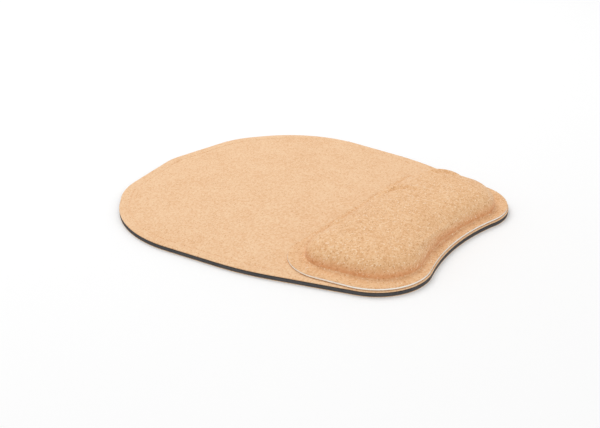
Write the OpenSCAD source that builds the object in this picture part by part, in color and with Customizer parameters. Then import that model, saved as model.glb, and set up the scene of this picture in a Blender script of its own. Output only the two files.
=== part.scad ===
// Ergonomic desk mat for a mouse: a die-cut laminate of foam rubber, cloth and
// cork, with a moulded wrist rest bonded to its front edge.
// X runs along the wrist rest, +Y points away from the user, +Z is up.
// The origin is on the desk, under the middle of the mat's bounding box.

/* [Mat outline] */
// Widest part of the mat, across its shoulders
mat_w = 222; // [178:1:266]
// Length of the mat, from the front corners to the crown of the far edge
mat_l = 250; // [230:1:300]
// Radius of the crown in the middle of the far edge
crown_r = 42; // [33:1:52]
// Radius of the two brows, where the far edge turns to the slanting corners
brow_r = 58; // [46:1:68]
// How far each brow circle stays inside the widest part
brow_in = 16; // [13:0.1:20]
// Distance from the far edge to the brow centres
brow_back = 65; // [54:0.5:76]
// Radius of the two shoulders, where the mat is widest
shoulder_r = 84; // [70:1:100]
// Distance from the far edge to the shoulder centres
shoulder_back = 90.5; // [80:0.5:102]
// Radius of the soft bend where the sides begin to taper
waist_r = 186; // [150:1:222]
// How far each waist bend stays inside the widest part
waist_in = 2.4; // [1.5:0.1:4]
// Distance from the front to the waist centres
waist_front = 127; // [106:0.5:150]
// Radius of the two front corners
corner_r = 36.5; // [29:0.5:44]
// How far each front corner stays inside the widest part
corner_in = 21.8; // [17:0.1:26]
// Radius of the hollow that the front edge is cut to
hollow_r = 163; // [130:1:196]

/* [Mat layers] */
// Thickness of the foam rubber base
base_t = 2.5; // [2:0.1:4]
// Thickness of each adhesive film
film_t = 0.15; // [0.1:0.05:0.3]
// Thickness of the cloth that carries the mat's cork
cloth_t = 0.35; // [0.25:0.05:0.5]
// Thickness of the mat's cork sheet
cork_t = 0.6; // [0.4:0.05:1]
// Distance from the cut edge to the pressed border line
line_in = 6.4; // [5:0.1:8]
// Width of the pressed border line
line_w = 1; // [0.6:0.1:1.5]
// Depth of the pressed border line
line_depth = 0.15; // [0.1:0.01:0.2]

/* [Wrist rest] */
// Strip of mat left showing in front of the wrist rest
rest_in = 0.8; // [0.5:0.1:1.5]
// Radius of the wrist rest's rear corners
end_r = 30; // [24:0.5:36]
// How far each rear corner stays inside the widest part of the mat
end_in = 19.7; // [16:0.1:24]
// Distance from the front of the mat to the wrist rest's straight rear edge
rest_l = 87.5; // [76:0.5:105]
// Thickness of the sheet that closes the cushion below
sheet_t = 0.4; // [0.3:0.05:1]
// Thickness of the cloth lining under the cork cover
lining_t = 0.6; // [0.4:0.05:1]
// Thickness of the cork cover
cover_t = 0.65; // [0.5:0.05:1]
// Height of the foam core
core_h = 15.5; // [12.5:0.5:18.5]
// Radius of the core's front corners
core_corner_r = 28; // [22:0.5:34]
// How full the cushion's plan stays as it rises: 2 is round, 5 nearly square
dome_fullness = 3.7; // [2:0.1:5]
// Flat flange left round the front of the core
flange_front = 7.1; // [5.5:0.1:8.5]
// Flat flange left round the ends and the rear of the core
flange_end = 11.9; // [9.5:0.1:14.5]

/* [Hidden] */

base_colour = "#3d3d3f";
film_colour = "#d9d3c3";
cloth_colour = "#efe8da";
cork_colour = "#dcb184";
foam_colour = "#f2ecd8";

// Steps on each arc of an outline, and rings from the foot of the dome to its top
arc_steps = 12;
dome_rings = 10;
// How steeply the dome's sides round over to its top
dome_shoulder = 2.2;
// Share of the dome's plan that its flat top keeps
top_share = 0.06;
// How far the dome's ridge stops short of the centres of the core's rear corners
ridge_in = 16;

// Heights of the layers above the desk
film_z = base_t;
cloth_z = film_z + film_t;
cork_z = cloth_z + cloth_t;
mat_top = cork_z + cork_t;
sheet_z = mat_top + film_t;
core_z = sheet_z + sheet_t;

half_w = mat_w / 2;
front_y = -mat_l / 2;
far_y = mat_l / 2;

// Each outline is a belt round circles [x, y, radius], listed anticlockwise.
// A negative radius is a hollow, which the belt passes on its outer side.
corner = [half_w - corner_in - corner_r, front_y + corner_r, corner_r];
hollow = [0, corner.y - reach(corner_r + hollow_r, corner.x), -hollow_r];
waist = [half_w - waist_in - waist_r, front_y + waist_front, waist_r];
shoulder = [half_w - shoulder_r, far_y - shoulder_back, shoulder_r];
brow = [half_w - brow_in - brow_r, far_y - brow_back, brow_r];
crown = [0, far_y - crown_r, crown_r];
mat_circles = both_sides(hollow, [corner, waist, shoulder, brow], [crown]);

// The wrist rest follows the mat's front edge, and has its own ends and rear edge.
rest_hollow = grown(hollow, -rest_in);
rest_corner = grown(corner, -rest_in);
rest_end = [half_w - end_in - end_r, front_y + rest_l - end_r, end_r];
rest_circles = both_sides(rest_hollow, [rest_corner, rest_end], []);

// The core keeps a flange clear inside the wrist rest's outline. Its front corners
// run straight into its hollow front.
core_hollow = grown(rest_hollow, -flange_front);
core_corner_x = rest_corner.x + rest_corner[2] - flange_end - core_corner_r;
core_corner_y = core_hollow.y + reach(core_corner_r - core_hollow[2], core_corner_x);
core_end = grown(rest_end, -flange_end);
core_circles = both_sides(core_hollow, [[core_corner_x, core_corner_y, core_corner_r], core_end], []);

// Second short side of a right-angled triangle
function reach(long_side, short_side) = sqrt(pow(long_side, 2) - pow(short_side, 2));

function mirrored(c) = [-c.x, c.y, c[2]];
function grown(c, by) = [c.x, c.y, c[2] + by];
function both_sides(front, side, far) = concat(
    [front],
    side,
    far,
    [for (i = [len(side) - 1:-1:0]) mirrored(side[i])]);

// Heading of the straight stretch from circle a to circle b
function heading(a, b) =
    let (
        gap = [b.x - a.x, b.y - a.y],
        lean = min(1, max(-1, (a[2] - b[2]) / norm(gap))))
    atan2(gap.y, gap.x) + asin(lean);

// An angle brought between -180 and 180
function turn(angle) = (angle + 540) % 360 - 180;

// Points of the belt round the circles, with every radius grown by the same amount
function belt(circles, by = 0) =
    let (n = len(circles))
    [for (i = [0:n - 1])
        let (
            here = grown(circles[i], by),
            enter = heading(grown(circles[(i + n - 1) % n], by), here),
            leave = heading(here, grown(circles[(i + 1) % n], by)))
        for (k = [0:arc_steps])
            let (a = enter + turn(leave - enter) * k / arc_steps)
            [here.x + here[2] * sin(a), here.y - here[2] * cos(a)]];

// The ridge point that a foot point of the dome rises to: halfway between the core's
// front and rear edges, and no further out than the ridge's ends
function ridge_point(p) =
    let (
        ridge_half = core_end.x - ridge_in,
        x = min(ridge_half, max(-ridge_half, p.x)),
        front = core_hollow.y + reach(core_hollow[2], x),
        rear = core_end.y + core_end[2])
    [x, (front + rear) / 2];

// A flat ring of points at height z
function raised(points, z) = [for (p = points) [p.x, p.y, z]];

// Rings of a dome whose foot is the core's outline grown sideways, at height z
function dome(by, z) =
    let (foot = belt(core_circles, by))
    [for (k = [0:dome_rings])
        let (
            a = 90 * k / dome_rings,
            rise = pow(sin(a), 2 / dome_shoulder),
            share = top_share + (1 - top_share) * pow(cos(a), 2 / dome_fullness))
        [for (p = foot)
            let (r = ridge_point(p))
            [r.x + (p.x - r.x) * share, r.y + (p.y - r.y) * share, z + core_h * rise]]];

function backwards(list) = [for (i = [len(list) - 1:-1:0]) list[i]];

// A closed skin over a chain of rings that all have as many points. Its facets lean the
// same way going up as going down, so that nested skins meet face to face.
module skin(rings) {
    n = len(rings[0]);
    last = (len(rings) - 1) * n;
    sides = [for (j = [0:len(rings) - 2])
        let (up = rings[j + 1][0].z >= rings[j][0].z)
        for (i = [0:n - 1])
            let (a = j * n + i, b = j * n + (i + 1) % n)
            each up ? [[a, b + n, b], [a, a + n, b + n]] : [[a, a + n, b], [b, a + n, b + n]]];
    polyhedron(
        points = [for (ring = rings) each ring],
        faces = concat([[for (i = [n - 1:-1:0]) last + i]], sides, [[for (i = [0:n - 1]) i]]),
        convexity = 4);
}

// A flat layer of the laminate
module layer(circles, z, thickness, by = 0) {
    translate([0, 0, z])
        linear_extrude(height = thickness)
            polygon(belt(circles, by));
}

// A sheet pressed over the core: flat on the flange, and domed inside it.
// by is how far it lies outside the core.
module formed_sheet(by, thickness) {
    outline = belt(rest_circles);
    skin(concat(
        backwards(dome(by, core_z + by)),
        [raised(outline, core_z + by), raised(outline, core_z + by + thickness)],
        dome(by + thickness, core_z + by + thickness)));
}

// Foam rubber base, which grips the desk
module base_pad() {
    color(base_colour)
        layer(mat_circles, 0, base_t);
}

// Adhesive film between the base and the cloth
module base_film() {
    color(film_colour)
        layer(mat_circles, film_z, film_t);
}

// Cloth that the mat's cork is laminated to
module mat_cloth() {
    color(cloth_colour)
        layer(mat_circles, cloth_z, cloth_t);
}

// Cork sheet that the mouse runs on, with a border line pressed into it
module mat_cork() {
    color(cork_colour)
        difference() {
            layer(mat_circles, cork_z, cork_t);
            difference() {
                layer(mat_circles, mat_top - line_depth, cork_t, -line_in);
                layer(mat_circles, mat_top - line_depth - cork_t, 3 * cork_t, -line_in - line_w);
            }
        }
}

// Adhesive film under the wrist rest
module rest_film() {
    color(film_colour)
        layer(rest_circles, mat_top, film_t);
}

// Sheet that closes the wrist rest below
module rest_sheet() {
    color(cloth_colour)
        layer(rest_circles, sheet_z, sheet_t);
}

// Foam core of the wrist rest
module rest_core() {
    color(foam_colour)
        skin(dome(0, core_z));
}

// Pale cloth lining, whose cut edge shows below the cork cover
module rest_lining() {
    color(cloth_colour)
        formed_sheet(0, lining_t);
}

// Cork cover of the wrist rest
module rest_cover() {
    color(cork_colour)
        formed_sheet(lining_t, cover_t);
}

base_pad();
base_film();
mat_cloth();
mat_cork();
rest_film();
rest_sheet();
rest_core();
rest_lining();
rest_cover();
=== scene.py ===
# %% [markdown]
# # A cork desk mat with a padded wrist rest
# The real thing is a laminate. A foam rubber base grips the desk. A cloth backed cork
# sheet lies on it, and a wrist rest is glued along the front: a foam cushion under a
# pale lining and a pressed cork cover, with a flat flange all round.
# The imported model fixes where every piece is. This script makes each piece as a maker
# would want to see it, in metres, with +Z up and +Y away from the user. All keep their
# places but the four thin hidden layers, whose heights are a known fault (Flat layers).

# %% Load the frame
import math
import bpy
import numpy as np
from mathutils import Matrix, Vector


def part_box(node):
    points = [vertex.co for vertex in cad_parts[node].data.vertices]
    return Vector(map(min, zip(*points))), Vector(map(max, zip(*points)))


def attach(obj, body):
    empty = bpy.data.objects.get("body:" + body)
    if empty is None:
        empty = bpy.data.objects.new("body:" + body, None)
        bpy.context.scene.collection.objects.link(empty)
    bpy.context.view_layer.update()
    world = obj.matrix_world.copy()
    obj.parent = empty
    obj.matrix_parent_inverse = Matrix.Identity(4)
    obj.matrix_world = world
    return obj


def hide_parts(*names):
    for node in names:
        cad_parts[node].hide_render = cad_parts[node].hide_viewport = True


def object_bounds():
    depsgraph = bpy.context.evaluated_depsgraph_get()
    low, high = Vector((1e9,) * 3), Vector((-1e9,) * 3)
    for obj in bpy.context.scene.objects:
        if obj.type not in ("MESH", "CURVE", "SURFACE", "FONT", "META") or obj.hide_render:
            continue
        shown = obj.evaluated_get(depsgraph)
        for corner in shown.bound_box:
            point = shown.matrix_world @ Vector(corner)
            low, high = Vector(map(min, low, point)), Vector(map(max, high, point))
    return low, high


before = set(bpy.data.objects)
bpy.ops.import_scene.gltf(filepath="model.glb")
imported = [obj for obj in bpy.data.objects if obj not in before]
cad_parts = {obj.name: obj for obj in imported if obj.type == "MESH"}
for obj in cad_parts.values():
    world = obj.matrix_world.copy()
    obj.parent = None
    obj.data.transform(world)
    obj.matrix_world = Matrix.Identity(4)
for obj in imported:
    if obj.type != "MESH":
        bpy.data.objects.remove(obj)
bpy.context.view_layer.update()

MM = 0.001

# %% [markdown]
# ## Camera
# The camera stands in front of the mat's left corner and looks down by 25 degrees. Its
# lens is a little longer than a normal one, so the mat's far edge narrows only slightly.

# %% Place the camera
LENS_MM = 57.0
TURN = math.radians(54.2)
LOOK_DOWN = math.radians(25.1)
DISTANCE = 0.646
AIM = Vector((-16.9 * MM, -7.9 * MM, 0))


def make_camera():
    data = bpy.data.cameras.new("camera")
    data.lens = LENS_MM
    data.clip_start = 0.01
    back = Vector((-math.sin(TURN) * math.cos(LOOK_DOWN),
                   -math.cos(TURN) * math.cos(LOOK_DOWN),
                   math.sin(LOOK_DOWN)))
    camera = bpy.data.objects.new("camera", data)
    camera.location = AIM + DISTANCE * back
    camera.rotation_euler = (-back).to_track_quat("-Z", "Y").to_euler()
    bpy.context.scene.collection.objects.link(camera)
    bpy.context.scene.camera = camera


make_camera()
bpy.context.scene.view_settings.view_transform = "Standard"
print("camera", DISTANCE, "m from the mat")

# %% [markdown]
# ## Outlines
# A die cuts each layer, and a die's outline is round corners joined by straight or
# hollow runs. So an outline here is a belt pulled round a few circles, as in the
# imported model. A circle with a negative radius is a hollow, and growing every radius by
# the same amount moves the whole outline in or out evenly, which the pressed border
# line and the cushion's foot both need.

# %% Outlines as belts round circles
mat_low, mat_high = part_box("base_pad")
rest_low, rest_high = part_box("rest_cover")
HALF_W = mat_high[0] / MM
FRONT_Y = mat_low[1] / MM
FAR_Y = mat_high[1] / MM
REAR_Y = rest_high[1] / MM

# Radii in millimetres, and how far each circle stays in from the mat's box
CORNER_R = 36.5
CORNER_IN = 21.8
HOLLOW_R = 163
WAIST_R = 186
WAIST_IN = 2.4
WAIST_FRONT = 127
SHOULDER_R = 84
SHOULDER_BACK = 90.5
BROW_R = 58
BROW_IN = 16
BROW_BACK = 65
CROWN_R = 42
REST_IN = 0.8
FLANGE_FRONT = 7.1
FLANGE_END = 11.9
CORE_CORNER_R = 28
END_R = 30


def reach(long_side, short_side):
    return math.sqrt(long_side ** 2 - short_side ** 2)


def grown(circle, by):
    return (circle[0], circle[1], circle[2] + by)


def both_sides(front, side, far):
    left = [(-x, y, r) for x, y, r in reversed(side)]
    return [front] + side + far + left


corner = (HALF_W - CORNER_IN - CORNER_R, FRONT_Y + CORNER_R, CORNER_R)
hollow = (0, corner[1] - reach(CORNER_R + HOLLOW_R, corner[0]), -HOLLOW_R)
waist = (HALF_W - WAIST_IN - WAIST_R, FRONT_Y + WAIST_FRONT, WAIST_R)
shoulder = (HALF_W - SHOULDER_R, FAR_Y - SHOULDER_BACK, SHOULDER_R)
brow = (HALF_W - BROW_IN - BROW_R, FAR_Y - BROW_BACK, BROW_R)
crown = (0, FAR_Y - CROWN_R, CROWN_R)
MAT = both_sides(hollow, [corner, waist, shoulder, brow], [crown])

rest_corner = grown(corner, -REST_IN)
rest_end = (rest_high[0] / MM - END_R, REAR_Y - END_R, END_R)
REST = both_sides(grown(hollow, -REST_IN), [rest_corner, rest_end], [])

core_hollow = grown(hollow, -REST_IN - FLANGE_FRONT)
core_corner_x = rest_corner[0] + rest_corner[2] - FLANGE_END - CORE_CORNER_R
core_corner_y = core_hollow[1] + reach(CORE_CORNER_R - core_hollow[2], core_corner_x)
core_end = grown(rest_end, -FLANGE_END)
CORE = both_sides(core_hollow, [(core_corner_x, core_corner_y, CORE_CORNER_R), core_end], [])


def belt(circles, by=0.0, count=480):
    """Evenly spaced points of the belt, anticlockwise from the middle of the front."""
    circles = [grown(c, by) for c in circles]
    steps = 40

    def heading(a, b):
        dx, dy = b[0] - a[0], b[1] - a[1]
        lean = (a[2] - b[2]) / math.hypot(dx, dy)
        return math.atan2(dy, dx) + math.asin(max(-1, min(1, lean)))

    points = []
    for i, here in enumerate(circles):
        enter = heading(circles[i - 1], here)
        leave = heading(here, circles[(i + 1) % len(circles)])
        swing = (leave - enter + 3 * math.pi) % (2 * math.pi) - math.pi
        for k in range(steps + 1):
            a = enter + swing * k / steps
            points.append((here[0] + here[2] * math.sin(a), here[1] - here[2] * math.cos(a)))
    points = np.roll(np.array(points), -(steps // 2), axis=0)
    closed = np.vstack([points, points[:1]])
    along = np.concatenate([[0], np.cumsum(np.hypot(*np.diff(closed, axis=0).T))])
    wanted = np.linspace(0, along[-1], count, endpoint=False)
    return np.column_stack([np.interp(wanted, along, closed[:, k]) for k in (0, 1)])


mat_edge = belt(MAT)
print("mat outline", np.ptp(mat_edge, axis=0).round(1), "mm")

# %% [markdown]
# ## Finishes
# Every finish is a small node network on Object coordinates, so a pattern keeps its
# real size. One helper adds a node, and one turns a paint colour into linear light.

# %% Helpers for finishes
def paint(hex_colour):
    """Linear colour of an sRGB hex value."""
    parts = [int(hex_colour[i:i + 2], 16) / 255 for i in (1, 3, 5)]
    linear = [c / 12.92 if c <= 0.04045 else ((c + 0.055) / 1.055) ** 2.4 for c in parts]
    return (*linear, 1.0)


def add_node(tree, kind, inputs=None, **settings):
    """Adds a node. Each input is a value, or another node's output to link."""
    node = tree.nodes.new(kind)
    for name, value in settings.items():
        setattr(node, name, value)
    for name, value in (inputs or {}).items():
        if isinstance(value, bpy.types.NodeSocket):
            tree.links.new(value, node.inputs[name])
        else:
            node.inputs[name].default_value = value
    return node


def new_finish(name, roughness, specular=0.5):
    """An empty finish with its surface shader, and the object's own coordinates."""
    material = bpy.data.materials.new(name)
    material.use_nodes = True
    tree = material.node_tree
    shader = tree.nodes["Principled BSDF"]
    shader.inputs["Roughness"].default_value = roughness
    shader.inputs["Specular IOR Level"].default_value = specular
    place = add_node(tree, "ShaderNodeTexCoord").outputs["Object"]
    return material, tree, shader, place


def blend_stops(tree, factor, stops):
    """A colour ramp with the given (position, hex colour) stops."""
    ramp = add_node(tree, "ShaderNodeValToRGB", {"Fac": factor})
    elements = ramp.color_ramp.elements
    while len(elements) < len(stops):
        elements.new(0.5)
    for element, (position, colour) in zip(elements, stops):
        element.position = position
        element.color = paint(colour)
    return ramp.outputs["Color"]


def weighted(tree, value, weight, onto):
    """onto + weight * (value - 0.5)"""
    lifted = add_node(tree, "ShaderNodeMath", {0: value, 1: -0.5}, operation="ADD")
    return add_node(tree, "ShaderNodeMath", {0: lifted.outputs[0], 1: weight, 2: onto},
                    operation="MULTIPLY_ADD").outputs[0]


# %% [markdown]
# **Agglomerated cork.** Cork bark is ground to granules about a millimetre across,
# pressed into a block and sliced. Each granule keeps its own tint, specks of darker
# bark lie between them, and whole patches are a little lighter or darker. The slice is
# matt, with a faint waxy sheen when light grazes it. The mat's cork is sliced smooth.
# The cover's cork is stretched over the cushion, so its grain opens and looks coarser.

# %% Cork
PATCH_MM = 17
PALE_GRAIN = "#fde3c4"
# Heights in millimetres: the painted shade near the bump's foot fades in over the first pair, out over the
# second
FOOT_SHADE_TOP, FOOT_SHADE_FULL = 12.5, 6.2
FOOT_NONE, FOOT_FULL = 5.6, 6.6
FOOT_SHADE_STRENGTH = 0.5


def cork(name, granule_mm, contrast, speck_share, relief_mm, stops, speck_colour, pale_share=0.05,
         foot_shade_colour=None):
    material, tree, shader, place = new_finish(name, roughness=0.72, specular=0.35)
    granules = add_node(tree, "ShaderNodeTexVoronoi",
                        {"Vector": place, "Scale": 1 / (granule_mm * MM), "Randomness": 1.0})
    tint = add_node(tree, "ShaderNodeSeparateColor", {"Color": granules.outputs["Color"]})
    dust = add_node(tree, "ShaderNodeTexNoise",
                    {"Vector": place, "Scale": 1 / (0.45 * granule_mm * MM), "Detail": 2.0})
    patches = add_node(tree, "ShaderNodeTexNoise",
                       {"Vector": place, "Scale": 1 / (PATCH_MM * MM), "Detail": 3.0, "Roughness": 0.6})
    tone = weighted(tree, tint.outputs["Red"], 0.45 * contrast, 0.5)
    tone = weighted(tree, dust.outputs["Fac"], 1.1 * contrast, tone)
    tone = weighted(tree, patches.outputs["Fac"], 0.32, tone)
    body = blend_stops(tree, tone, stops)

    specks = add_node(tree, "ShaderNodeTexVoronoi",
                      {"Vector": place, "Scale": 1 / (0.8 * granule_mm * MM), "Randomness": 1.0})
    pick = add_node(tree, "ShaderNodeSeparateColor", {"Color": specks.outputs["Color"]})
    chosen = add_node(tree, "ShaderNodeMapRange",
                      {"Value": pick.outputs["Green"], "From Min": speck_share,
                       "From Max": speck_share * 0.6, "To Min": 0.0, "To Max": 1.0})
    core = add_node(tree, "ShaderNodeMapRange",
                    {"Value": specks.outputs["Distance"], "From Min": 0.5, "From Max": 0.25})
    dark = add_node(tree, "ShaderNodeMath", {0: chosen.outputs["Result"], 1: core.outputs["Result"]},
                    operation="MULTIPLY")
    pale_pick = add_node(tree, "ShaderNodeMapRange",
                         {"Value": pick.outputs["Blue"], "From Min": pale_share,
                          "From Max": pale_share * 0.6, "To Min": 0.0, "To Max": 0.8})
    pale = add_node(tree, "ShaderNodeMath", {0: pale_pick.outputs["Result"], 1: core.outputs["Result"]},
                    operation="MULTIPLY")
    lit = add_node(tree, "ShaderNodeMix", {"Factor": pale.outputs[0], 6: body, 7: paint(PALE_GRAIN)},
                   data_type="RGBA")
    mixed = add_node(tree, "ShaderNodeMix", {"Factor": dark.outputs[0], 6: lit.outputs[2],
                                             7: paint(speck_colour)}, data_type="RGBA")
    colour = mixed.outputs[2]
    if foot_shade_colour:
        # Painted shade: the cork low on the bump, just above its foot, is darkened to a redder tone where
        # shade falls.
        level = add_node(tree, "ShaderNodeSeparateXYZ", {"Vector": place}).outputs["Z"]
        near = add_node(tree, "ShaderNodeMapRange",
                        {"Value": level, "From Min": FOOT_SHADE_TOP * MM, "From Max": FOOT_SHADE_FULL * MM})
        over = add_node(tree, "ShaderNodeMapRange",
                        {"Value": level, "From Min": FOOT_NONE * MM, "From Max": FOOT_FULL * MM})
        share = add_node(tree, "ShaderNodeMath", {0: near.outputs[0], 1: over.outputs[0]},
                         operation="MULTIPLY")
        share = add_node(tree, "ShaderNodeMath", {0: share.outputs[0], 1: FOOT_SHADE_STRENGTH},
                         operation="MULTIPLY")
        colour = add_node(tree, "ShaderNodeMix", {"Factor": share.outputs[0], 6: colour, 7: paint(foot_shade_colour)},
                          data_type="RGBA", blend_type="MULTIPLY").outputs[2]
    tree.links.new(colour, shader.inputs["Base Color"])

    height = weighted(tree, dust.outputs["Fac"], 0.8, 0.5)
    height = weighted(tree, tint.outputs["Red"], 0.35, height)
    height = add_node(tree, "ShaderNodeMath", {0: dark.outputs[0], 1: -0.5, 2: height},
                      operation="MULTIPLY_ADD")
    bump = add_node(tree, "ShaderNodeBump", {"Height": height.outputs[0], "Strength": 0.9,
                                             "Distance": relief_mm * MM})
    tree.links.new(bump.outputs["Normal"], shader.inputs["Normal"])
    shader.inputs["Sheen Weight"].default_value = 0.12
    shader.inputs["Sheen Roughness"].default_value = 0.4
    return material


MAT_CORK = cork("pressed_cork_sheet", granule_mm=1.0, contrast=0.8, speck_share=0.05, relief_mm=0.06,
                stops=[(0.0, "#cd9661"), (0.32, "#e5b484"), (0.5, "#edc297"), (0.7, "#f2cca2"),
                       (1.0, "#f9dcba")],
                speck_colour="#c48a58")
# The cover's darker, redder colour near the bump's foot is painted shade.
COVER_CORK = cork("stretched_cork_cover", granule_mm=1.2, contrast=0.75, speck_share=0.12, relief_mm=0.14,
                  stops=[(0.0, "#bd8450"), (0.3, "#dfaa76"), (0.5, "#ebbc8c"), (0.7, "#f1c89b"),
                         (1.0, "#f8d9b4")],
                  speck_colour="#c48a55", pale_share=0.15, foot_shade_colour="#e6ba9a")
print("cork finishes:", MAT_CORK.name, COVER_CORK.name)

# %% [markdown]
# **Foam rubber, cloth, film and foam.** The base is closed-cell rubber, charcoal grey
# and quite matt, with cells of about a third of a millimetre at its cut edge. The
# cloth is an off-white plain weave. The film is a cream adhesive, and the cushion's
# foam is pale with small open cells.

# %% Foam rubber, cloth, film and foam
def cellular(name, cell_mm, relief_mm, dark, light, roughness):
    material, tree, shader, place = new_finish(name, roughness=roughness, specular=0.3)
    cells = add_node(tree, "ShaderNodeTexVoronoi", {"Vector": place, "Scale": 1 / (cell_mm * MM)})
    clouds = add_node(tree, "ShaderNodeTexNoise", {"Vector": place, "Scale": 1 / (6 * MM), "Detail": 3.0})
    tone = weighted(tree, clouds.outputs["Fac"], 0.8, cells.outputs["Distance"])
    tree.links.new(blend_stops(tree, tone, [(0.1, dark), (0.7, light)]), shader.inputs["Base Color"])
    bump = add_node(tree, "ShaderNodeBump", {"Height": cells.outputs["Distance"], "Strength": 0.7,
                                             "Distance": relief_mm * MM})
    tree.links.new(bump.outputs["Normal"], shader.inputs["Normal"])
    return material


def woven(name, thread_mm, dark, light):
    material, tree, shader, place = new_finish(name, roughness=0.85, specular=0.25)
    threads = [add_node(tree, "ShaderNodeTexWave", {"Vector": place, "Scale": 1 / (6.2 * thread_mm * MM)},
                        bands_direction=way).outputs["Fac"] for way in ("X", "Y")]
    cloth = add_node(tree, "ShaderNodeMath", {0: threads[0], 1: threads[1]}, operation="MULTIPLY")
    tree.links.new(blend_stops(tree, cloth.outputs[0], [(0.0, dark), (0.6, light)]),
                   shader.inputs["Base Color"])
    bump = add_node(tree, "ShaderNodeBump", {"Height": cloth.outputs[0], "Strength": 0.5,
                                             "Distance": 0.05 * MM})
    tree.links.new(bump.outputs["Normal"], shader.inputs["Normal"])
    shader.inputs["Sheen Weight"].default_value = 0.1
    return material


BASE_RUBBER = cellular("closed_cell_rubber", 0.35, 0.06, "#3c3b3c", "#545354", 0.9)
FOAM = cellular("cushion_foam", 0.6, 0.15, "#e3dac3", "#f4eedd", 0.95)
LINING_CLOTH = woven("lining_cloth", 0.3, "#fbf4e8", "#fffdf8")
BACKING_CLOTH = woven("backing_cloth", 0.3, "#d3ad85", "#e2bf98")
FILM = cellular("adhesive_film", 1.5, 0.01, "#b99a76", "#c9ab87", 0.5)
print("other finishes:", [m.name for m in (BASE_RUBBER, FOAM, LINING_CLOTH, BACKING_CLOTH, FILM)])

# %% [markdown]
# ## Flat layers
# Every flat layer is the same thing with other sizes: an outline, filled and given a
# thickness. That is a rule, so Geometry Nodes make it. The outline goes in as a ring of
# edges, and the tree fills it, thickens it upwards and closes it below.
# One fault is left: Fill Curve drops the ring's height, so all four layers come out with
# their underside at zero, inside the rubber base. Lifting the filled sheet mends it.

# %% A tree for die-cut layers
def tree_socket(tree, name, kind, way="INPUT", value=None):
    socket = tree.interface.new_socket(name=name, in_out=way, socket_type=kind)
    if value is not None:
        socket.default_value = value
    return socket


def layer_tree():
    tree = bpy.data.node_groups.new("die_cut_layer", "GeometryNodeTree")
    tree_socket(tree, "Outline", "NodeSocketGeometry")
    tree_socket(tree, "Thickness", "NodeSocketFloat", value=0.001)
    tree_socket(tree, "Finish", "NodeSocketMaterial")
    tree_socket(tree, "Layer", "NodeSocketGeometry", "OUTPUT")
    given = add_node(tree, "NodeGroupInput").outputs
    curve = add_node(tree, "GeometryNodeMeshToCurve", {"Mesh": given["Outline"]})
    sheet = add_node(tree, "GeometryNodeFillCurve", {"Curve": curve.outputs["Curve"]}, mode="NGONS")
    up = add_node(tree, "ShaderNodeCombineXYZ", {"Z": given["Thickness"]})
    raised = add_node(tree, "GeometryNodeExtrudeMesh",
                      {"Mesh": sheet.outputs[0], "Offset": up.outputs[0], "Offset Scale": 1.0,
                       "Individual": False})
    below = add_node(tree, "GeometryNodeFlipFaces", {"Mesh": sheet.outputs[0]})
    both = add_node(tree, "GeometryNodeJoinGeometry")
    tree.links.new(below.outputs[0], both.inputs[0])
    tree.links.new(raised.outputs["Mesh"], both.inputs[0])
    closed = add_node(tree, "GeometryNodeMergeByDistance",
                      {"Geometry": both.outputs[0], "Distance": 0.01 * MM})
    real = add_node(tree, "GeometryNodeRealizeInstances", {"Geometry": closed.outputs[0]})
    coated = add_node(tree, "GeometryNodeSetMaterial",
                      {"Geometry": real.outputs[0], "Material": given["Finish"]})
    result = add_node(tree, "NodeGroupOutput")
    tree.links.new(coated.outputs[0], result.inputs[0])
    return tree


LAYER_TREE = layer_tree()


def run_tree(obj, tree, **values):
    """Runs a tree on obj once, and leaves its result as obj's plain mesh."""
    modifier = obj.modifiers.new(tree.name, "NODES")
    modifier.node_group = tree
    for item in tree.interface.items_tree:
        if item.in_out == "INPUT" and item.name in values:
            modifier[item.identifier] = values[item.name]
    graph = bpy.context.evaluated_depsgraph_get()
    made = bpy.data.meshes.new_from_object(obj.evaluated_get(graph))
    obj.modifiers.clear()
    obj.data = made
    return obj


def new_piece(name, verts, edges, faces):
    mesh = bpy.data.meshes.new(name)
    mesh.from_pydata([tuple(v) for v in verts], edges, faces)
    obj = bpy.data.objects.new(name, mesh)
    bpy.context.scene.collection.objects.link(obj)
    return obj


def hand_over(obj, nodes, finish=None):
    """Tells the frame what a finished piece is."""
    if finish is not None:
        obj.data.materials.clear()
        obj.data.materials.append(finish)
    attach(obj, "root")
    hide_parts(*nodes)
    triangles = sum(len(p.vertices) - 2 for p in obj.data.polygons)
    print(f"{obj.name}: {triangles} triangles")


def die_cut(name, node, outline, finish, inset=0.0):
    """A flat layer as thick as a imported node, which Fill Curve leaves at height zero."""
    low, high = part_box(node)
    ring = belt(outline, -inset)
    verts = [(x * MM, y * MM, low[2]) for x, y in ring]
    edges = [(i, (i + 1) % len(ring)) for i in range(len(ring))]
    obj = new_piece(name, verts, edges, [])
    run_tree(obj, LAYER_TREE, Thickness=high[2] - low[2], Finish=finish)
    hand_over(obj, [node])
    return obj


# %% Cut the flat layers
die_cut("base_adhesive", "base_film", MAT, FILM, inset=0.15)
mat_cloth = die_cut("mat_backing_cloth", "mat_cloth", MAT, BACKING_CLOTH, inset=0.08)
die_cut("rest_adhesive", "rest_film", REST, FILM, inset=0.25)
rest_sheet = die_cut("rest_bottom_sheet", "rest_sheet", REST, LINING_CLOTH, inset=0.05)


# %% [markdown]
# ## Base and cork sheet
# These two have more shape than a plain slice. The rubber's edges are slightly rounded
# by the die. The cork has softened top edges, and a thin border line pressed into it all
# the way round. Both are lofts: rings of the outline, each moved in and up by
# a step of the edge's section.

# %% Loft rings into a closed piece
MIDDLE_SHARES = (0.06, 0.25, 0.5, 0.75, 0.93)


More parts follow.
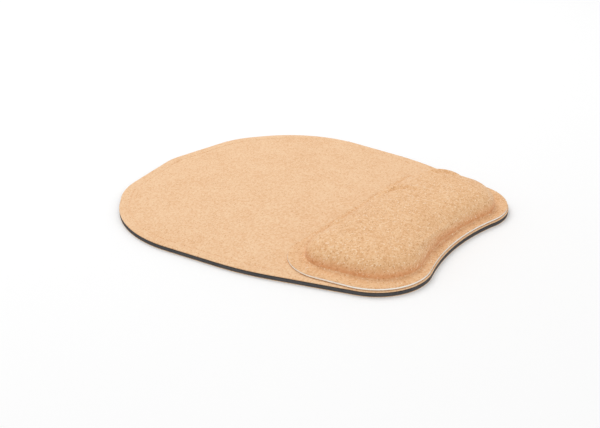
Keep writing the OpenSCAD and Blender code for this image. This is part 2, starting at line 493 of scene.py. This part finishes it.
def loft(name, rings):
    """A closed piece through rings of points, from its underside to its top."""
    def towards_middle(ring, shares):
        return [[(x * share, y * share, z) for x, y, z in ring] for share in shares]

    rings = (towards_middle(rings[0], MIDDLE_SHARES) + rings
             + towards_middle(rings[-1], MIDDLE_SHARES[::-1]))
    count = len(rings[0])
    faces = [tuple(reversed(range(count)))]
    for j in range(len(rings) - 1):
        for i in range(count):
            a, b = j * count + i, j * count + (i + 1) % count
            faces.append((a, b, b + count, a + count))
    last = (len(rings) - 1) * count
    faces.append(tuple(range(last, last + count)))
    return new_piece(name, [p for ring in rings for p in ring], [], faces)


def section_rings(outline, section):
    """Rings in metres, from a section of (inset, height) steps in millimetres."""
    edge = belt(outline, count=720)
    along = np.roll(edge, -1, axis=0) - np.roll(edge, 1, axis=0)
    along /= np.hypot(*along.T)[:, None]
    inward = np.column_stack([-along[:, 1], along[:, 0]])
    rings = []
    for inset, height in section:
        rings.append([(x * MM, y * MM, height * MM) for x, y in edge + inset * inward])
    return rings


# %% The rubber base
pad_low, pad_high = (end[2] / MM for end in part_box("base_pad"))
pad_section = [(0.7, pad_low), (0.3, pad_low + 0.15), (0.08, pad_low + 0.45), (0.0, pad_low + 0.8),
               (0.05, 0.5 * (pad_low + pad_high)), (0.0, pad_high - 0.3), (0.06, pad_high - 0.05),
               (0.2, pad_high)]
base = loft("rubber_base", section_rings(MAT, pad_section))
hand_over(base, ["base_pad"], BASE_RUBBER)

# %% The cork sheet with its pressed border line
# The line is drawn deeper than it is pressed, so that it shows
LINE_IN = 6.4
LINE_W = 1.1
LINE_DEPTH = 0.32
LINE_STEPS = 8
cork_low, cork_high = (end[2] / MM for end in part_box("mat_cork"))
cork_section = [(0.0, cork_low), (0.0, cork_high - 0.22), (0.07, cork_high - 0.08), (0.22, cork_high - 0.01),
                (0.5, cork_high), (LINE_IN - 0.8, cork_high)]
for step in range(LINE_STEPS + 1):
    across = step / LINE_STEPS
    dip = LINE_DEPTH * 0.5 * (1 - math.cos(2 * math.pi * across))
    cork_section.append((LINE_IN + LINE_W * across, cork_high - dip))
cork_section.append((LINE_IN + LINE_W + 0.8, cork_high))
mat_cork = loft("cork_sheet", section_rings(MAT, cork_section))
hand_over(mat_cork, ["mat_cork"], MAT_CORK)

# %% [markdown]
# ## Cushion
# The wrist rest's foam block is covered by a pale lining and a cork cover, both pulled
# over it and pressed flat round it. All three share one surface, so that surface comes
# first: a grid of rings, from the flange's rim, over the foot of the bump and up to a
# ridge. A cloth simulation with air pressure inside then gives it the crown that a
# stretched cover has. It starts a little low, because it swells.

# %% A coarse grid of rings over the rest
LINING_T = (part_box("rest_cover")[0].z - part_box("rest_lining")[0].z) / MM
COVER_T = LINING_T + 0.05
FLANGE_UNDER = rest_low[2] / MM
FLANGE_TOP = FLANGE_UNDER + COVER_T
DOME_TOP = rest_high[2] / MM
AROUND = 128
DOME_STEPS = 16
TOP_SHARE = 0.06
RIDGE_IN = 16
START_LOW = 0.915
SECTION_W = 30
SECTION_H = 15.5
SIDE_POWER = 3.7
RISE_POWER = 2.2


def ridge_of(points):
    """The ridge point that each foot point rises to."""
    half = core_end[0] - RIDGE_IN
    x = np.clip(points[:, 0], -half, half)
    front = core_hollow[1] + np.sqrt(core_hollow[2] ** 2 - x ** 2)
    rear = core_end[1] + core_end[2]
    return np.column_stack([x, (front + rear) / 2])


def dome_shares(steps):
    """How far out and how high each ring lies, at equal steps along the section."""
    turn = np.linspace(0, math.pi / 2, 400)
    out = TOP_SHARE + (1 - TOP_SHARE) * np.cos(turn) ** (2 / SIDE_POWER)
    up = np.sin(turn) ** (2 / RISE_POWER)
    lengths = np.hypot(np.diff(out) * SECTION_W, np.diff(up) * SECTION_H)
    along = np.concatenate([[0], np.cumsum(lengths)])
    wanted = np.linspace(0, along[-1], steps + 1)
    return np.interp(wanted, along, out), np.interp(wanted, along, up)


def raised(points, height):
    return np.column_stack([points, np.full(len(points), height)])


def halved(circles, by):
    """A belt with half its points in front of the ridge's line and half behind it."""
    dense = belt(circles, by, 4000)
    ridge_end = ridge_of(np.array([[1000.0, 0.0]]))[0]
    past_end = dense[:, 0] > ridge_end[0]
    right = int(np.argmin(np.where(past_end, np.abs(dense[:, 1] - ridge_end[1]), 1e9)))
    left = len(dense) - right
    front = np.vstack([dense[left:], dense[:right + 1]])
    rear = dense[right:left + 1]
    runs = []
    for run in (front, rear):
        along = np.concatenate([[0], np.cumsum(np.hypot(*np.diff(run, axis=0).T))])
        wanted = np.linspace(0, along[-1], AROUND // 2 + 1)[:-1]
        runs.append(np.column_stack([np.interp(wanted, along, run[:, k]) for k in (0, 1)]))
    return np.roll(np.vstack(runs), -(AROUND // 4), axis=0)


foot = halved(CORE, COVER_T + LINING_T)
ridge = ridge_of(foot)
rim = halved(REST, 0.0)
coarse = [raised(rim + (foot - rim) * s, FLANGE_TOP) for s in (0.0, 0.3, 0.6, 0.88)]
for out, up in zip(*dome_shares(DOME_STEPS)):
    height = FLANGE_TOP + (DOME_TOP - FLANGE_TOP) * START_LOW * up
    coarse.append(raised(ridge + (foot - ridge) * out, height))
coarse = np.array(coarse)
FOOT_RING = 4
print("rings:", coarse.shape[0], "of", AROUND, "points")


# %% Swell it with air pressure
def grid_faces(rings, around):
    """Quads of a grid of rings, closed along the ridge by a strip of quads."""
    faces = []
    for j in range(rings - 1):
        for i in range(around):
            a, b = j * around + i, j * around + (i + 1) % around
            faces.append((a, b, b + around, a + around))
    top = (rings - 1) * around
    half = around // 2
    for k in range(-(around // 4), around // 4):
        ends = [k, k + 1, half - k - 1, half - k]
        faces.append(tuple(dict.fromkeys(top + e % around for e in ends)))
    return faces


PRESSURE = 4.0
LAST_FRAME = 20
MOST_SWELL = 1.6


def swell(grid):
    """The same grid after a cloth simulation with pressure inside, in millimetres."""
    rings, around, _ = grid.shape
    start = grid.reshape(-1, 3)
    obj = new_piece("swelling_cover", start * MM, [], grid_faces(rings, around))
    held = obj.vertex_groups.new(name="held")
    held.add(list(range((FOOT_RING + 1) * around)), 1.0, "REPLACE")
    cloth = obj.modifiers.new("swell", "CLOTH")
    cloth.settings.use_pressure = True
    cloth.settings.uniform_pressure_force = PRESSURE
    cloth.settings.effector_weights.gravity = 0
    cloth.settings.vertex_group_mass = "held"
    cloth.settings.quality = 6
    cloth.settings.mass = 0.15
    cloth.settings.tension_stiffness = 8
    cloth.settings.bending_stiffness = 0.8
    cloth.point_cache.frame_end = LAST_FRAME
    scene = bpy.context.scene
    for frame_number in range(1, LAST_FRAME + 1):
        scene.frame_set(frame_number)
    moved = obj.evaluated_get(bpy.context.evaluated_depsgraph_get())
    found = np.zeros(len(start) * 3)
    moved.data.vertices.foreach_get("co", found)
    scene.frame_set(1)
    bpy.data.objects.remove(obj)
    step = found.reshape(-1, 3) / MM - start
    length = np.linalg.norm(step, axis=1, keepdims=True)
    print("the cover swelled by", round(float(length.max()), 2), "mm at most before the limit")
    step *= np.minimum(1, MOST_SWELL / np.maximum(length, 1e-9))
    step = step.reshape(grid.shape)
    for _ in range(6):
        step = 0.5 * step + 0.25 * (np.roll(step, 1, axis=1) + np.roll(step, -1, axis=1))
        above = np.concatenate([step[1:], step[-1:]])
        step[1:] = 0.5 * step[1:] + 0.25 * (step[:-1] + above[1:])
        step[-3:] = 0.5 * step[-3:] + 0.5 * step[-4]
        step[:FOOT_RING + 1] = 0
    return grid + step


swollen = swell(coarse)
print("top of the cushion", swollen[:, :, 2].max().round(2), "mm")

# %% [markdown]
# The coarse grid is then drawn through with smooth curves, four times as fine, so that
# wrinkles can be pressed into it. The corner between flange and bump is relaxed into
# a small fillet, because a laminate doesn't fold sharply.

# %% A fine grid through the coarse one
FINER = 4
RINGS_PER_STEP = 4


def drawn_through(grid, axis, times, closed):
    """Catmull-Rom curves through the grid along an axis."""
    grid = np.moveaxis(grid, axis, 0)
    count = len(grid)
    spans = count if closed else count - 1

    def at(i):
        return grid[i % count] if closed else grid[min(max(i, 0), count - 1)]

    rows = []
    for i in range(spans):
        p0, p1, p2, p3 = at(i - 1), at(i), at(i + 1), at(i + 2)
        for k in range(times):
            t = k / times
            rows.append(0.5 * (2 * p1 + (p2 - p0) * t + (2 * p0 - 5 * p1 + 4 * p2 - p3) * t ** 2
                               + (3 * p1 - p0 - 3 * p2 + p3) * t ** 3))
    if not closed:
        rows.append(grid[-1])
    return np.moveaxis(np.array(rows), 0, axis)


fine = drawn_through(drawn_through(swollen, 1, FINER, True), 0, RINGS_PER_STEP, False)
fine_foot = FOOT_RING * RINGS_PER_STEP
inner = slice(fine_foot - 5, fine_foot + 6)
for _ in range(5):
    relaxed = 0.5 * fine[inner] + 0.25 * (fine[inner.start - 1:inner.stop - 1]
                                          + fine[inner.start + 1:inner.stop + 1])
    fine[inner] = relaxed
print("fine grid:", fine.shape[:2])


def grid_normals(grid):
    """Outward normals at the grid's points."""
    round_way = np.roll(grid, -1, axis=1) - np.roll(grid, 1, axis=1)
    up_way = np.gradient(grid, axis=0)
    normal = np.cross(round_way, up_way)
    length = np.linalg.norm(normal, axis=2, keepdims=True)
    normal = normal / np.maximum(length, 1e-9)
    upright = np.array([0.0, 0.0, 1.0])
    normal[0] = upright
    for row, share in ((-1, 1.0), (-2, 0.75), (-3, 0.5), (-4, 0.25)):
        normal[row] = share * upright + (1 - share) * normal[row]
    for _ in range(4):
        normal[1:-1] = 0.5 * normal[1:-1] + 0.25 * (normal[:-2] + normal[2:])
    return normal / np.linalg.norm(normal, axis=2, keepdims=True)


# %% [markdown]
# **Wrinkles.** Sheet cork doesn't stretch evenly, so the cover has a few permanent
# creases, three on the cushion and one along its foot. Each is a path. The surface dips
# along it and stands up beside it, and the crease fades out at both ends.

# %% Press the wrinkles in
WRINKLES = [
    # path in mm, depth, half width
    ([(-47, -54.6), (-41, -55.6), (-36, -57.6)], 1.2, 1.5),
    ([(-4, -54.0), (3, -53.6), (9, -54.0), (16, -55.5), (20, -58.5), (23, -63), (24, -70), (25, -78)],
     1.2, 1.8),
    ([(59, -64), (63, -70), (66, -76), (69, -83)], 1.2, 1.7),
    ([(-40, -113.0), (-28, -111.8), (-14, -111.2), (0, -111.4), (12, -112.4)], 0.9, 1.1),
]


def path_distance(xy, path):
    """Signed distance to a path, and how far along it the nearest point is."""
    path = np.array(path, float)
    lengths = np.hypot(*np.diff(path, axis=0).T)
    reached = np.concatenate([[0], np.cumsum(lengths)]) / lengths.sum()
    best = np.full(xy.shape[:-1], 1e9)
    side = np.zeros_like(best)
    along = np.zeros_like(best)
    for i, (a, b) in enumerate(zip(path, path[1:])):
        run = b - a
        t = np.clip(((xy - a) @ run) / (run @ run), 0, 1)
        away = xy - (a + t[..., None] * run)
        d = np.hypot(away[..., 0], away[..., 1])
        nearer = d < best
        best = np.where(nearer, d, best)
        cross = run[0] * away[..., 1] - run[1] * away[..., 0]
        side = np.where(nearer, np.sign(cross), side)
        along = np.where(nearer, reached[i] + t * (reached[i + 1] - reached[i]), along)
    return best, side, along


def wrinkled(grid, normals):
    depth = np.zeros(grid.shape[:2])
    for path, deep, half_width in WRINKLES:
        d, side, along = path_distance(grid[..., :2], path)
        fade = np.sin(math.pi * np.clip(along, 0, 1)) ** 0.6
        dip = np.exp(-(d / half_width) ** 2)
        lip = 0.7 * np.exp(-((d - 2.0 * half_width) / (1.2 * half_width)) ** 2) * (1 + 0.8 * side)
        depth += deep * fade * (dip - lip)
    return grid - depth[..., None] * normals


normals = grid_normals(fine)
fine = wrinkled(fine, normals)
print("wrinkles:", len(WRINKLES))

# %% [markdown]
# The cover and the lining are thin shells between this surface and the same surface
# moved in by their thickness. The foam is the surface moved in by both, with a flat
# underside. The flange part only moves straight down. There the press has squeezed the
# cover thin, and the lining is drawn thicker by as much, so that its pale edge shows.

# %% Shells and foam
PRESSED_T = 0.28
CLEAR = 0.01
RIM_OUT = 0.2
opened = np.clip((np.arange(len(fine)) - fine_foot) / 10, 0, 1)
cover_depth = PRESSED_T + (COVER_T - PRESSED_T) * opened


def moved_in(by):
    """The surface moved in by a distance, or by one distance for each ring."""
    return fine - np.broadcast_to(by, len(fine))[:, None, None] * normals


def shell(name, upper, lower):
    """A closed sheet between two grids, with a wall round the rim."""
    rings, around, _ = upper.shape
    verts = np.vstack([upper.reshape(-1, 3), lower.reshape(-1, 3)]) * MM
    top = grid_faces(rings, around)
    offset = rings * around
    below = [tuple(v + offset for v in reversed(face)) for face in top]
    wall = [(i + offset, (i + 1) % around + offset, (i + 1) % around, i) for i in range(around)]
    return new_piece(name, verts, [], top + below + wall)


def soften_rim(grid, by=0.06):
    """Rounds the top edge of a shell a little."""
    grid = grid.copy()
    grid[0, :, 2] -= by
    grid[1, :, :2] = grid[0, :, :2] + 0.12 * (grid[1, :, :2] - grid[0, :, :2])
    return grid


cover = shell("cork_cover", soften_rim(fine), moved_in(cover_depth - CLEAR))
hand_over(cover, ["rest_cover"], COVER_CORK)
lining_top = moved_in(cover_depth + CLEAR)
lining_top[0] = lining_top[0] + RIM_OUT * (lining_top[0] - lining_top[1])
lining = shell("pale_lining", lining_top, moved_in(COVER_T + LINING_T - CLEAR))
hand_over(lining, ["rest_lining"], LINING_CLOTH)

foam_grid = moved_in(COVER_T + LINING_T + 2 * CLEAR)[fine_foot + 3:]
foam_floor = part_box("rest_core")[0].z / MM + 2 * CLEAR
foam_foot = foam_grid[0].copy()
foam_foot[:, 2] = foam_floor
foam_grid = np.vstack([foam_foot[None], foam_grid])
foam_faces = grid_faces(*foam_grid.shape[:2])
foam_faces.append(tuple(reversed(range(foam_grid.shape[1]))))
foam = new_piece("foam_cushion", foam_grid.reshape(-1, 3) * MM, [], foam_faces)
hand_over(foam, ["rest_core"], FOAM)

# %% [markdown]
# **Loose grain.** Coarser granules stand a little proud of the cork, most of all where
# the cover is stretched. They follow a rule, so Geometry Nodes scatter them: flat
# pebbles of twenty faces, sunk into every face that looks up, with a fixed seed.

# %% A tree that scatters granules
def granule_tree():
    tree = bpy.data.node_groups.new("cork_granules", "GeometryNodeTree")
    tree_socket(tree, "Surface", "NodeSocketGeometry")
    tree_socket(tree, "Per Square Metre", "NodeSocketFloat", value=1000.0)
    tree_socket(tree, "Smallest", "NodeSocketFloat", value=0.0002)
    tree_socket(tree, "Largest", "NodeSocketFloat", value=0.0005)
    tree_socket(tree, "Flatness", "NodeSocketFloat", value=0.3)
    tree_socket(tree, "Seed", "NodeSocketInt", value=1)
    tree_socket(tree, "Finish", "NodeSocketMaterial")
    tree_socket(tree, "Granules", "NodeSocketGeometry", "OUTPUT")
    given = add_node(tree, "NodeGroupInput").outputs
    normal = add_node(tree, "GeometryNodeInputNormal").outputs[0]
    lean = add_node(tree, "ShaderNodeSeparateXYZ", {"Vector": normal}).outputs["Z"]
    looks_up = add_node(tree, "FunctionNodeCompare", {0: lean, 1: 0.1}, operation="GREATER_THAN")
    points = add_node(tree, "GeometryNodeDistributePointsOnFaces",
                      {"Mesh": given["Surface"], "Selection": looks_up.outputs[0],
                       "Density": given["Per Square Metre"], "Seed": given["Seed"]})
    pebble = add_node(tree, "GeometryNodeMeshIcoSphere", {"Radius": 1.0, "Subdivisions": 1})
    size = add_node(tree, "FunctionNodeRandomValue",
                    {2: given["Smallest"], 3: given["Largest"], "Seed": given["Seed"]},
                    data_type="FLOAT").outputs[1]
    thin = add_node(tree, "ShaderNodeMath", {0: size, 1: given["Flatness"]}, operation="MULTIPLY")
    wide = add_node(tree, "ShaderNodeMath", {0: size, 1: 1.5}, operation="MULTIPLY")
    scale = add_node(tree, "ShaderNodeCombineXYZ", {"X": wide.outputs[0], "Y": size, "Z": thin.outputs[0]})
    spin = add_node(tree, "FunctionNodeRandomValue", {2: 0.0, 3: 6.28, "Seed": 7}, data_type="FLOAT")
    about = add_node(tree, "FunctionNodeAxisAngleToRotation",
                     {"Axis": (0.0, 0.0, 1.0), "Angle": spin.outputs[1]})
    turned = add_node(tree, "FunctionNodeRotateRotation",
                      {"Rotation": points.outputs["Rotation"], "Rotate By": about.outputs[0]},
                      rotation_space="LOCAL")
    placed = add_node(tree, "GeometryNodeInstanceOnPoints",
                      {"Points": points.outputs["Points"], "Instance": pebble.outputs["Mesh"],
                       "Rotation": turned.outputs[0], "Scale": scale.outputs[0]})
    real = add_node(tree, "GeometryNodeRealizeInstances", {"Geometry": placed.outputs[0]})
    coated = add_node(tree, "GeometryNodeSetMaterial",
                      {"Geometry": real.outputs[0], "Material": given["Finish"]})
    result = add_node(tree, "NodeGroupOutput")
    tree.links.new(coated.outputs[0], result.inputs[0])
    return tree


GRANULE_TREE = granule_tree()


def granule_finish(name, stops):
    """Bark granules: every granule has a tint of its own, pale or reddish."""
    material, tree, shader, place = new_finish(name, roughness=0.75, specular=0.3)
    cells = add_node(tree, "ShaderNodeTexVoronoi", {"Vector": place, "Scale": 1 / (1.6 * MM)})
    tint = add_node(tree, "ShaderNodeSeparateColor", {"Color": cells.outputs["Color"]})
    dust = add_node(tree, "ShaderNodeTexNoise", {"Vector": place, "Scale": 1 / (0.3 * MM)})
    tone = weighted(tree, dust.outputs["Fac"], 0.3, tint.outputs["Red"])
    tree.links.new(blend_stops(tree, tone, stops), shader.inputs["Base Color"])
    return material


def scatter(name, surface, finish, per_square_metre, smallest_mm, largest_mm, seed):
    """Granules on the upper faces of a piece, as one mesh."""
    grains = bpy.data.objects.new(name, surface.data.copy())
    bpy.context.scene.collection.objects.link(grains)
    run_tree(grains, GRANULE_TREE, **{"Per Square Metre": per_square_metre, "Seed": seed,
                                      "Smallest": smallest_mm * MM, "Largest": largest_mm * MM,
                                      "Finish": finish})
    hand_over(grains, [])


# %% Scatter them on the cover and the mat
COVER_GRAIN = granule_finish("cover_bark_granules",
                             [(0.0, "#cd935d"), (0.45, "#e6b585"), (0.75, "#f5d2aa"), (1.0, "#fde6cb")])
MAT_GRAIN = granule_finish("mat_bark_granules", [(0.0, "#dba873"), (0.5, "#edc297"), (1.0, "#f8dab6")])
scatter("cover_granules", cover, COVER_GRAIN, per_square_metre=260000.0,
        smallest_mm=0.2, largest_mm=0.42, seed=3)
scatter("mat_granules", mat_cork, MAT_GRAIN, per_square_metre=60000.0,
        smallest_mm=0.2, largest_mm=0.4, seed=5)

# %% Smooth shading
for obj in (cover, lining, foam):
    flat_faces = fine.shape[1] if obj is not foam else 1
    soft_faces = len(obj.data.polygons) - flat_faces
    obj.data.polygons.foreach_set("use_smooth", [True] * soft_faces + [False] * flat_faces)
for obj in (mat_cork, base):
    obj.data.polygons.foreach_set("use_smooth", [len(p.vertices) == 4 for p in obj.data.polygons])

# %% [markdown]
# ## Floor and light
# The object lies on a pale studio floor, which the camera sees as white apart from the
# object's soft shadow. The light is a big soft panel overhead and a little behind, a
# weaker one low at the front left, and an even white surround.

# %% Floor
FLOOR_SIZE = 4.0
FLOOR_LIFT = 0.05
floor = new_piece("studio_floor",
                  [(x * FLOOR_SIZE, y * FLOOR_SIZE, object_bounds()[0][2])
                   for x, y in ((-1, -1), (1, -1), (1, 1), (-1, 1))], [], [(0, 1, 2, 3)])


def floor_finish():
    material = bpy.data.materials.new("painted_studio_floor")
    material.use_nodes = True
    shader = material.node_tree.nodes["Principled BSDF"]
    shader.inputs["Base Color"].default_value = paint("#f6f6f6")
    shader.inputs["Roughness"].default_value = 0.9
    shader.inputs["Specular IOR Level"].default_value = 0.1
    tree = material.node_tree
    seen = add_node(tree, "ShaderNodeLightPath").outputs["Is Camera Ray"]
    lift = add_node(tree, "ShaderNodeMath", {0: seen, 1: FLOOR_LIFT}, operation="MULTIPLY")
    tree.links.new(lift.outputs[0], shader.inputs["Emission Strength"])
    shader.inputs["Emission Color"].default_value = (1, 1, 1, 1)
    return material


floor.data.materials.append(floor_finish())


# %% Lights
SURROUND = 0.76


def soft_panel(name, where, aim, size, watts):
    data = bpy.data.lights.new(name, "AREA")
    data.shape = "DISK"
    data.size = size
    data.energy = watts
    panel = bpy.data.objects.new(name, data)
    panel.location = where
    panel.rotation_euler = (Vector(aim) - Vector(where)).to_track_quat("-Z", "Y").to_euler()
    bpy.context.scene.collection.objects.link(panel)


soft_panel("overhead_panel", where=(0.35, 0.75, 1.3), aim=(0, 0, 0), size=1.1, watts=8)
soft_panel("front_panel", where=(-0.9, -1.1, 0.45), aim=(0, 0, 0), size=1.2, watts=2)
world = bpy.data.worlds.new("white_surround")
world.use_nodes = True
world.node_tree.nodes["Background"].inputs["Color"].default_value = (1, 1, 1, 1)
world.node_tree.nodes["Background"].inputs["Strength"].default_value = SURROUND
bpy.context.scene.world = world

# %% Sizes and areas of the outlines, worked out but not kept
def outline_area(outline):
    x, y = belt(outline).T * MM
    return 0.5 * abs(float(np.dot(x, np.roll(y, -1)) - np.dot(y, np.roll(x, -1))))


def outline_size(outline):
    return tuple(float(s) for s in np.ptp(belt(outline), axis=0) * MM)


outline_size(MAT)
outline_area(MAT)
outline_size(MAT)
outline_area(MAT)
outline_size(REST)
outline_area(REST)
for piece, under in ((cover, "pale_lining"), (lining, "foam_cushion")):
    outline_size(REST)
    outline_area(REST)
